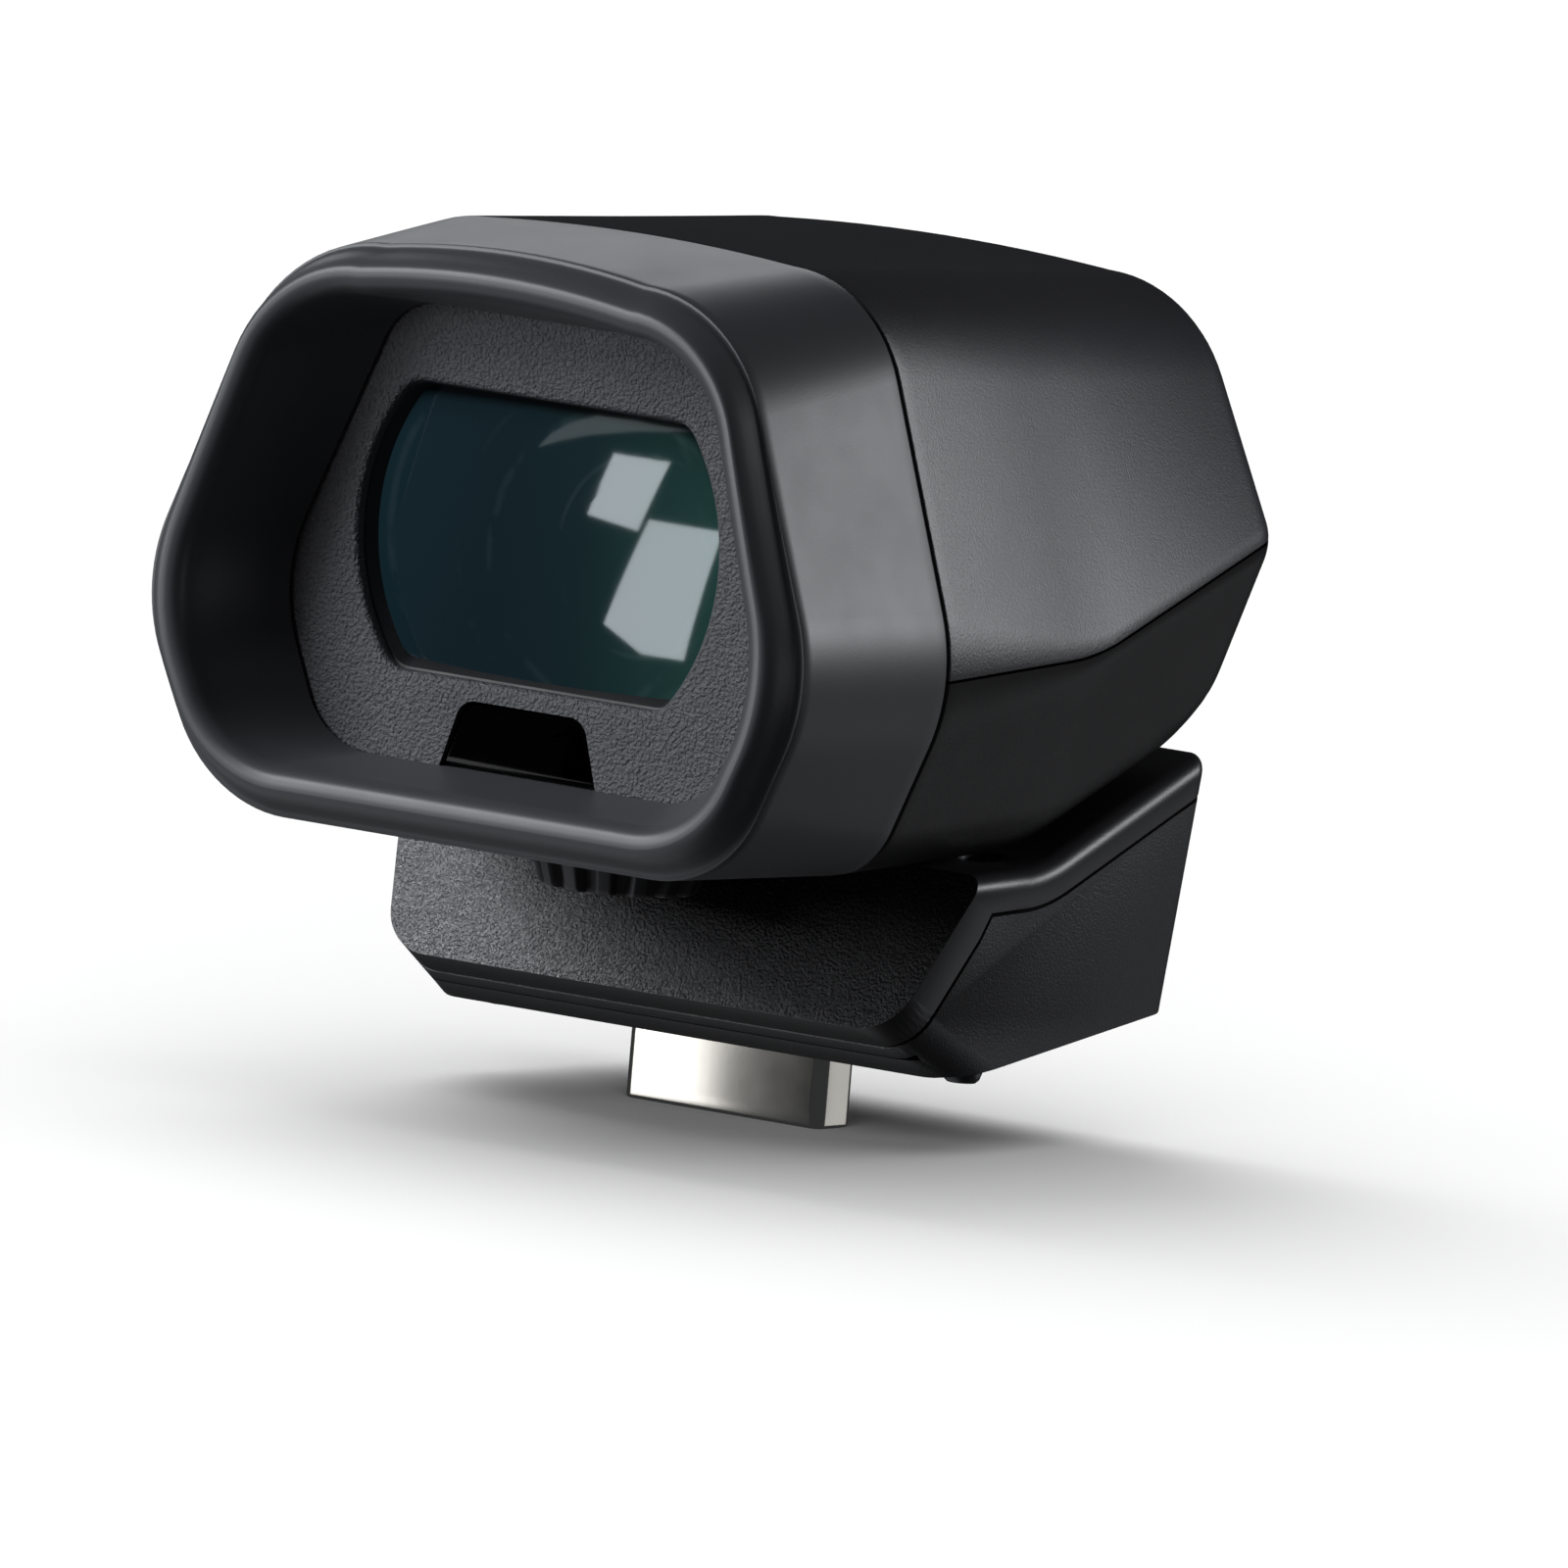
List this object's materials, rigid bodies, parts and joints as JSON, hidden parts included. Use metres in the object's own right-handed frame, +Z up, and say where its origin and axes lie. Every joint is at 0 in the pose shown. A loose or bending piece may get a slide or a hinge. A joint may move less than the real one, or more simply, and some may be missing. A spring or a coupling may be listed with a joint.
{
  "type": "electronic viewfinder",
  "caption": "Camera-top electronic viewfinder: a tilting eyepiece head with a rubber eyecup, a domed eye lens and a focus knob under it, hinged on a wedge-shaped base with a plug and captive screws",
  "frame": {"origin": "On the underside of the base, on the centre line of the plug, where the camera's top plate holds the viewfinder", "axes": "+Z up, away from the camera; -Y the way the eyepiece faces, towards the user; +X to the user's right"},
  "size_m": [0.062, 0.0597, 0.0656],
  "materials": {
    "eyecup_rubber": "smooth satin, dark grey",
    "grained_plastic": "coarse leather grain, dark grey",
    "lens_glass": "coated glass with a dark teal reflection",
    "dark_window": "glossy, near black",
    "chip_black": "matt black moulding",
    "board_green": "green solder resist",
    "ribbon_amber": "smooth amber film",
    "shell_plastic": "fine grain, black",
    "base_plastic": "satin black, grained on the front panel",
    "knob_plastic": "matt dark grey",
    "screw_steel": "plain steel",
    "hinge_steel": "plain steel",
    "plug_nickel": "bright nickel plate"
  },
  "bodies": {
    "base": {"hinge_barrel": "base_plastic", "hinge_pin_left": "hinge_steel", "hinge_pin_right": "hinge_steel", "base_top_cover": "base_plastic", "base_lower_housing": "base_plastic", "foot_screw_left": "screw_steel", "foot_screw_right": "screw_steel", "base_screw_1": "screw_steel", "base_screw_2": "screw_steel", "base_screw_3": "screw_steel", "base_screw_4": "screw_steel", "plug_shell": "plug_nickel", "plug_tongue": "chip_black", "connector_board": "board_green", "base_ribbon": "ribbon_amber"},
    "head": {"eyecup": "eyecup_rubber", "eyepiece_bezel": "grained_plastic", "eye_lens": "lens_glass", "sensor_window": "dark_window", "proximity_sensor": "chip_black", "sensor_board": "board_green", "eyepiece_frame": "shell_plastic", "lens_guide": "shell_plastic", "display_holder": "shell_plastic", "display_panel": "dark_window", "display_board": "board_green", "display_driver": "chip_black", "display_ribbon": "ribbon_amber", "upper_shell": "shell_plastic", "lower_shell": "shell_plastic", "shell_screw_1": "screw_steel", "shell_screw_2": "screw_steel", "shell_screw_3": "screw_steel", "shell_screw_4": "screw_steel", "hinge_arm_left": "hinge_steel", "hinge_arm_right": "hinge_steel", "arm_screw_left": "screw_steel", "arm_screw_right": "screw_steel", "friction_washer_left": "hinge_steel", "friction_washer_right": "hinge_steel", "pin_nut_left": "hinge_steel", "pin_nut_right": "hinge_steel"},
    "focus": {"focus_knob": "knob_plastic", "knob_clip": "screw_steel"},
    "carriage": {"lens_carriage": "shell_plastic", "inner_lens": "lens_glass"},
    "screw_left": {"captive_screw_left": "screw_steel"},
    "screw_right": {"captive_screw_right": "screw_steel"}
  },
  "joints": [
    {"name": "head_tilt", "type": "hinge", "parent": "base", "child": "head", "pos_m": [0, 0.0102, 0.0288], "axis": [-1, 0, 0], "range_deg": [0, 70]},
    {"name": "focus_turn", "type": "hinge", "parent": "head", "child": "focus", "pos_m": [0, -0.0172, 0.014], "axis": [0, 0, 1], "range_deg": [-60, 60]},
    {"name": "lens_slide", "type": "slide", "parent": "head", "child": "carriage", "axis": [0, 1, 0], "range_m": [-0.00138, 0.00138]},
    {"name": "screw_turn_left", "type": "hinge", "parent": "base", "child": "screw_left", "pos_m": [-0.0208, -0.0014, 0], "axis": [0, 0, -1], "continuous": true},
    {"name": "screw_turn_right", "type": "hinge", "parent": "base", "child": "screw_right", "pos_m": [0.0208, -0.0014, 0], "axis": [0, 0, -1], "continuous": true}
  ],
  "couplings": [
    {"joint": "focus_turn", "follows": "lens_slide", "rad_per_m": 755}
  ]
}
